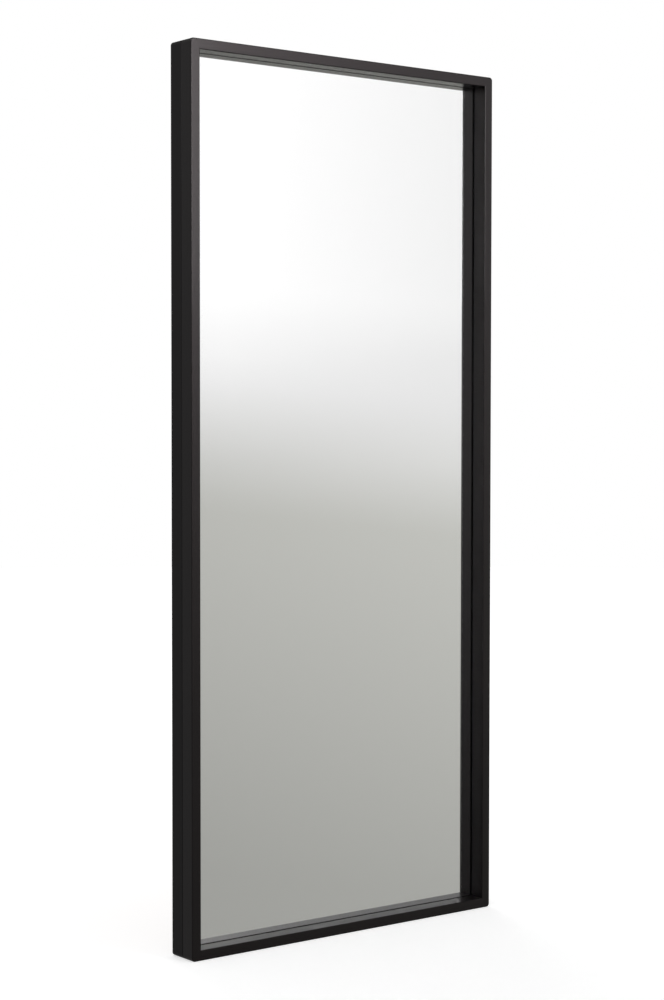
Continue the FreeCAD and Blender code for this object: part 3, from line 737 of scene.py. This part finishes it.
def domed_bumper(diameter, height):
    """A low domed bumper as wide as 1, its flat foot at the origin."""
    half = diameter / 2
    ease = 0.15 * MM
    draft = 0.1 * MM
    round_edge = 0.8 * MM
    rim = height - 0.7 * MM
    profile = [(0, 0), (half - ease, 0), (half, ease), (half - draft, rim - round_edge)]
    profile += arc((half - draft - round_edge, rim - round_edge), round_edge, 10, 62, 6)
    shoulder = profile[-1]
    rise = height - shoulder[1]
    dome_steps = 6
    for step in range(1, dome_steps):
        share = step / dome_steps
        profile.append((shoulder[0] * (1 - share), shoulder[1] + rise * (1 - (1 - share) ** 2)))
    profile.append((0, height))
    mesh = mesh_from("domed_bumper", lathe(profile, 40), smooth=True)
    mesh.transform(Matrix.Scale(1 / diameter, 4))
    mesh.set_sharp_from_angle(angle=math.radians(40))
    return link_mesh("domed_bumper", mesh)


def stamped_point(sizes, length, thickness):
    """A glazing point as wide as 1: eased edges, rounded corners, +X into the recess, +Z its back."""
    corner = 1.2 * MM
    ease = 0.08 * MM
    half = sizes.point_width / 2
    free = length - sizes.point_buried
    shoulder = sizes.point_tip - sizes.point_buried
    outline = [(-sizes.point_buried, 0), (shoulder, -half)]
    outline += arc((free - corner, corner - half), corner, -90, 0, 5)
    outline += arc((free - corner, half - corner), corner, 0, 90, 5)
    outline.append((shoulder, half))
    shape = bmesh.new()
    face = shape.faces.new([shape.verts.new((x, y, 0)) for x, y in outline])
    raised = bmesh.ops.extrude_face_region(shape, geom=[face])
    top = [item for item in raised["geom"] if isinstance(item, bmesh.types.BMVert)]
    bmesh.ops.translate(shape, verts=top, vec=(0, 0, thickness))
    rims = [edge for edge in shape.edges if abs(edge.verts[0].co.z - edge.verts[1].co.z) < MERGE]
    bmesh.ops.bevel(shape, geom=rims, offset=ease, segments=1, affect="EDGES")
    mesh = mesh_from("stamped_point", shape)
    mesh.transform(Matrix.Scale(1 / sizes.point_width, 4))
    return link_mesh("stamped_point", mesh)


# --- Operators -------------------------------------------------------------------------------------


def dress(node, material):
    """Gives a CAD node its finish."""
    slots = frame["nodes"][node].material_slots
    if not slots:
        frame["nodes"][node].data.materials.append(material)
    for slot in slots:
        slot.material = material


def settle(piece, body, slot, *nodes):
    """Lets a finished piece ride on its body, and stand for its CAD nodes."""
    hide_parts(*nodes)
    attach(piece, body)


class FLOORMIRROR_OT_lacquer_frames(bpy.types.Operator):
    """Lacquer the front and rear frames, with the grain along each member"""

    bl_idname = "floor_mirror.lacquer_frames"
    bl_label = "Lacquer the frames"

    def execute(self, context):
        looks = context.scene.floor_mirror_finishes
        # The rear frame gets a darker copy of the front lacquer, with a weaker sheen and coat: painted
        # shade.
        lacquers = (
            ("front", looks.front_lacquer, FRONT_SHEEN, FRONT_COAT),
            ("rear", looks.rear_shaded_lacquer, REAR_SHADED_SHEEN, REAR_SHADED_COAT),
        )
        for layer, colour, sheen, coat in lacquers:
            woods = {}
            for axis in "XZ":
                name = f"satin lacquer on beech {layer} {axis}"
                woods[axis] = satin_lacquer(name, colour, sheen, coat, axis, looks.lacquer_roughness)
            for member, axis in MEMBER_GRAIN.items():
                dress(f"{layer}_{member}", woods[axis])
        beech = planed_beech("planed beech", looks.beech)
        dress("front_corner_tongues", beech)
        dress("rear_corner_tongues", beech)
        return {"FINISHED"}


class FLOORMIRROR_OT_glaze(bpy.types.Operator):
    """Set the glass with its silvering, tape, blocks and spacers"""

    bl_idname = "floor_mirror.glaze"
    bl_label = "Set the glass"

    def execute(self, context):
        looks = context.scene.floor_mirror_finishes
        sizes = context.scene.floor_mirror_fittings
        low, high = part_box("mirror_glass")
        low.y += sizes.pane_gap
        high.y -= sizes.pane_gap
        shape = bmesh.new()
        bmesh.ops.create_cube(shape, size=1.0)
        for vertex in shape.verts:
            vertex.co = [high[axis] if vertex.co[axis] > 0 else low[axis] for axis in range(3)]
        bmesh.ops.bevel(shape, geom=shape.edges[:], offset=sizes.ground_edge, segments=2, affect="EDGES")
        pane = link_mesh("glass_pane", mesh_from("glass_pane", shape))
        pane.data.materials.append(float_glass("float glass", looks.glass))
        settle(pane, FRAME_BODY, "float_glass", "mirror_glass")
        dress("silver_coating", silvering("silvering", looks.silver))
        dress("glazing_tape", foam_tape("closed-cell foam tape", looks.tape))
        plastic = moulded_polypropylene("moulded polypropylene", looks.block)
        for node in ("setting_blocks", "top_spacers", "side_spacers"):
            dress(node, plastic)
        return {"FINISHED"}


class FLOORMIRROR_OT_back(bpy.types.Operator):
    """Finish the hardboard and fit the glazing points that hold it"""

    bl_idname = "floor_mirror.back"
    bl_label = "Close the back"

    def execute(self, context):
        looks = context.scene.floor_mirror_finishes
        sizes = context.scene.floor_mirror_fittings
        dress("backing_board", pressed_hardboard("pressed hardboard", looks.hardboard))
        steel = zinc_plate("stamped spring steel", looks.point_steel, "Z", line=0.25 * MM, roughness=0.4)
        seats = []
        for low, high in solids_of("glazing_points"):
            middle = (low + high) / 2
            extent = high - low
            across = 0 if extent.x > extent.z else 2
            inward = Vector((0, 0, 0))
            inward[across] = 1 if middle[across] < CAD_MIDDLE[across] else -1
            length = extent[across]
            thickness = extent.y
            entry = middle + inward * (sizes.point_buried - length / 2)
            seats.append((Vector((entry.x, low.y, entry.z)), Vector((0, 1, 0)), inward))
        template = stamped_point(sizes, length, thickness)
        points = fit_pieces("glazing_points_stamped", template, seats, sizes.point_width, steel)
        settle(points, FRAME_BODY, "point_steel", "glazing_points")
        return {"FINISHED"}


class FLOORMIRROR_OT_hangers(bpy.types.Operator):
    """Finish the hanger straps, bend their rings and drive their screws"""

    bl_idname = "floor_mirror.hangers"
    bl_label = "Fit the hangers"

    def ring_route(self, side, pivot, sizes):
        """The middle line of a hanging ring, as a mesh of edges."""
        low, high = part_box(f"hanger_ring_{side}")
        half = (high.y - low.y - sizes.wire_diameter) / 2
        bend = sizes.ring_bend
        seam = sizes.ring_seam / 2
        route = [(seam, 0.0)]
        route += arc((half - bend, -bend), bend, 90, 0, 8)
        route += arc((0, -sizes.ring_arm), half, 0, -180, 40)
        route += arc((-half + bend, -bend), bend, 180, 90, 8)
        route.append((-seam, 0.0))
        inward = 1 if side == "left" else -1
        tilt = Matrix.Rotation(-inward * sizes.ring_rest, 3, "Y")
        points = [pivot + tilt @ Vector((0, y, z)) for y, z in route]
        mesh = bpy.data.meshes.new(f"ring_route_{side}")
        mesh.from_pydata(points, [(number, number + 1) for number in range(len(points) - 1)], [])
        return mesh

    def execute(self, context):
        looks = context.scene.floor_mirror_finishes
        sizes = context.scene.floor_mirror_fittings
        zinc = looks.zinc
        strap_finish = zinc_plate("zinc-plated sheet steel", zinc, "Z", line=0.3 * MM, roughness=0.34)
        wire_finish = zinc_plate("zinc-plated steel wire", zinc, "Y", line=0.3 * MM, roughness=0.28)
        screw_finish = zinc_plate("zinc-plated screw steel", zinc, "X", line=0.4 * MM, roughness=0.3)
        tree = wire_tree()
        for side in SIDES:
            dress(f"hanger_strap_{side}", strap_finish)
            joint = next(joint for joint in frame["joints"] if joint["child"] == f"ring_{side}")
            route = self.ring_route(side, Vector(joint["pos_m"]), sizes)
            values = {
                "Wire diameter": sizes.wire_diameter,
                "Sides": sizes.wire_sides,
                "Finish": wire_finish,
            }
            ring = grow(f"ring_wire_{side}", route, tree, values)
            settle(ring, f"ring_{side}", "zinc_wire", f"hanger_ring_{side}")
        seats = []
        for low, high in solids_of("hanger_screws"):
            inward = 1 if low.x < 0 else -1
            middle = (low + high) / 2
            top = high.x if inward == 1 else low.x
            seat = Vector((top - inward * sizes.screw_dome, middle.y, middle.z))
            seats.append((seat, Vector((inward, 0, 0)), Vector((0, 0, 1))))
            length = high.x - low.x - sizes.screw_dome
        template = round_head_screw(sizes.screw_head, sizes.screw_dome, length, sizes.screw_shank)
        screws = fit_pieces(
            "hanger_screws_cross_head", template, seats, sizes.screw_head, screw_finish,
            chance_turn=math.radians(90), seed=sizes.screw_seed,
        )
        settle(screws, FRAME_BODY, "zinc_screw_steel", "hanger_screws")
        return {"FINISHED"}


class FLOORMIRROR_OT_bumpers(bpy.types.Operator):
    """Stick the domed rubber bumpers on the back of the rear frame"""

    bl_idname = "floor_mirror.bumpers"
    bl_label = "Fit the bumpers"

    def execute(self, context):
        looks = context.scene.floor_mirror_finishes
        sizes = context.scene.floor_mirror_fittings
        seats = []
        for low, high in solids_of("wall_bumpers"):
            middle = (low + high) / 2
            seats.append((Vector((middle.x, low.y, middle.z)), Vector((0, 1, 0)), Vector((0, 0, 1))))
            height = high.y - low.y
        template = domed_bumper(sizes.bumper_diameter, height)
        rubber = moulded_rubber("moulded rubber", looks.rubber)
        bumpers = fit_pieces("wall_bumpers_domed", template, seats, sizes.bumper_diameter, rubber)
        settle(bumpers, FRAME_BODY, "bumper_rubber", "wall_bumpers")
        return {"FINISHED"}


def aim(name, location, target, size, spread, power):
    """A soft rectangular lamp that points at a target, its light held within a spread in degrees."""
    lamp = bpy.data.lights.new(name, "AREA")
    lamp.shape = "RECTANGLE"
    lamp.size, lamp.size_y = size
    lamp.spread = math.radians(spread)
    lamp.energy = power
    made = bpy.data.objects.new(name, lamp)
    made.location = location
    made.rotation_euler = (Vector(target) - Vector(location)).to_track_quat("-Z", "Y").to_euler()
    bpy.context.scene.collection.objects.link(made)


class FLOORMIRROR_OT_studio(bpy.types.Operator):
    """Set up the pale floor, the soft light round the mirror and the camera"""

    bl_idname = "floor_mirror.studio"
    bl_label = "Set up the studio"

    def background(self, tree, level, colour=None):
        """Light of a level, white unless a colour is given."""
        inputs = {"Color": colour or opaque(WHITE), "Strength": level}
        return add_node(tree, "ShaderNodeBackground", inputs).outputs["Background"]

    def surroundings(self, studio):
        """The studio round the mirror: the camera sees plain white, and reflections see the room.

        To the right that is a white wall over a grey floor. To the left it is a dim room, with a
        lighter card before the mirror. All other light is even.
        """
        world = bpy.data.worlds.new("white studio")
        world.use_nodes = True
        tree = world.node_tree
        tree.nodes.clear()
        place = add_node(tree, "ShaderNodeTexCoord").outputs["Generated"]
        toward = add_node(tree, "ShaderNodeSeparateXYZ", {"Vector": place}).outputs
        tilt = calculated(tree, "MULTIPLY_ADD", toward["X"], WALL_TILT, -WALL_TILT * WALL_LEVEL_X)
        height = ranged(tree, calculated(tree, "ADD", toward["Z"], tilt), 0.0, 1.0, -1.0, 1.0)
        ramp = add_node(tree, "ShaderNodeValToRGB", {"Fac": height})
        elements = ramp.color_ramp.elements
        for number, (angle, level, tone) in enumerate(STUDIO_LEVELS):
            position = 0.5 + 0.5 * math.sin(math.radians(angle))
            element = elements[number] if number < len(elements) else elements.new(position)
            element.position = position
            element.color = opaque([level * part for part in tone])
        wall_side = ranged(tree, toward["X"], *WALL_SIDES, *WALL_SIDES_X)
        floor_side = ranged(tree, toward["X"], *FLOOR_SIDES, *FLOOR_SIDES_X)
        above = ranged(tree, toward["Z"], 0.0, 1.0, *HORIZON)
        right_level = level_between(tree, above, floor_side, wall_side)
        dim_level = ranged(tree, toward["Z"], *DIM_LEVELS, *DIM_HORIZON)
        card_level = ranged(tree, toward["Z"], *CARD_LEVELS, *CARD_HORIZON)
        before = ranged(tree, toward["Y"], 1.0, 0.0, *CARD_Y)
        left = self.background(tree, level_between(tree, before, dim_level, card_level))
        right = self.background(tree, right_level, ramp.outputs["Color"])
        rightness = ranged(tree, toward["X"], 0.0, 1.0, *RIGHT_X)
        room = shader_between(tree, rightness, left, right)
        ambient = self.background(tree, studio.ambient)
        backdrop = self.background(tree, 1.0)
        path = add_node(tree, "ShaderNodeLightPath").outputs
        indirect = shader_between(tree, in_reflection(tree, path), ambient, room)
        light = shader_between(tree, path["Is Camera Ray"], indirect, backdrop)
        output = add_node(tree, "ShaderNodeOutputWorld")
        tree.links.new(light, output.inputs["Surface"])
        return world

    def execute(self, context):
        studio = context.scene.floor_mirror_studio
        context.scene.world = self.surroundings(studio)
        context.scene.view_settings.view_transform = "Standard"
        shape = bmesh.new()
        bmesh.ops.create_circle(shape, cap_ends=True, radius=studio.floor_radius, segments=96)
        floor = link_mesh("studio_floor", mesh_from("studio_floor", shape))
        floor.data.materials.append(studio_floor("seamless paper", studio))
        for name, power, place, size, spread, height in LAMPS:
            target = (CAD_MIDDLE.x, CAD_MIDDLE.y, height)
            aim(name, place, target, size, spread, getattr(studio, power))
        lens = bpy.data.cameras.new("camera")
        lens.lens = studio.focal_length
        lens.sensor_width = 36.0
        lens.clip_end = 100.0
        camera = bpy.data.objects.new("camera", lens)
        turn = (
            Matrix.Rotation(-studio.camera_heading, 4, "Z")
            @ Matrix.Rotation(math.pi / 2 - studio.camera_tilt, 4, "X")
            @ Matrix.Rotation(studio.camera_roll, 4, "Z")
        )
        camera.matrix_world = Matrix.Translation(studio.camera_place) @ turn
        context.scene.collection.objects.link(camera)
        context.scene.camera = camera
        return {"FINISHED"}


class FLOORMIRROR_PT_maker(bpy.types.Panel):
    """The steps of making the mirror, in order"""

    bl_idname = "FLOORMIRROR_PT_maker"
    bl_label = "Floor mirror"
    bl_space_type = "VIEW_3D"
    bl_region_type = "UI"
    bl_category = "Floor mirror"

    def draw(self, context):
        for step in STEPS:
            self.layout.operator(step.bl_idname)
        for settings in ("floor_mirror_finishes", "floor_mirror_fittings", "floor_mirror_studio"):
            group = getattr(context.scene, settings)
            box = self.layout.box()
            for name in group.__annotations__:
                box.prop(group, name)


STEPS = (
    FLOORMIRROR_OT_lacquer_frames,
    FLOORMIRROR_OT_glaze,
    FLOORMIRROR_OT_back,
    FLOORMIRROR_OT_hangers,
    FLOORMIRROR_OT_bumpers,
    FLOORMIRROR_OT_studio,
)
GROUPS = (FloorMirrorFinishes, FloorMirrorFittings, FloorMirrorStudio)
CLASSES = (*GROUPS, *STEPS, FLOORMIRROR_PT_maker)


def register():
    """Registers the classes and puts the settings on the scene."""
    for item in CLASSES:
        bpy.utils.register_class(item)
    bpy.types.Scene.floor_mirror_finishes = PointerProperty(type=FloorMirrorFinishes)
    bpy.types.Scene.floor_mirror_fittings = PointerProperty(type=FloorMirrorFittings)
    bpy.types.Scene.floor_mirror_studio = PointerProperty(type=FloorMirrorStudio)


def unregister():
    """Takes the settings and the classes away again."""
    del bpy.types.Scene.floor_mirror_studio
    del bpy.types.Scene.floor_mirror_fittings
    del bpy.types.Scene.floor_mirror_finishes
    for item in reversed(CLASSES):
        bpy.utils.unregister_class(item)


def main():
    """Makes the whole scene."""
    register()
    bpy.ops.floor_mirror.lacquer_frames()
    bpy.ops.floor_mirror.glaze()
    bpy.ops.floor_mirror.back()
    bpy.ops.floor_mirror.hangers()
    bpy.ops.floor_mirror.bumpers()
    bpy.ops.floor_mirror.studio()


if __name__ == "__main__":
    main()
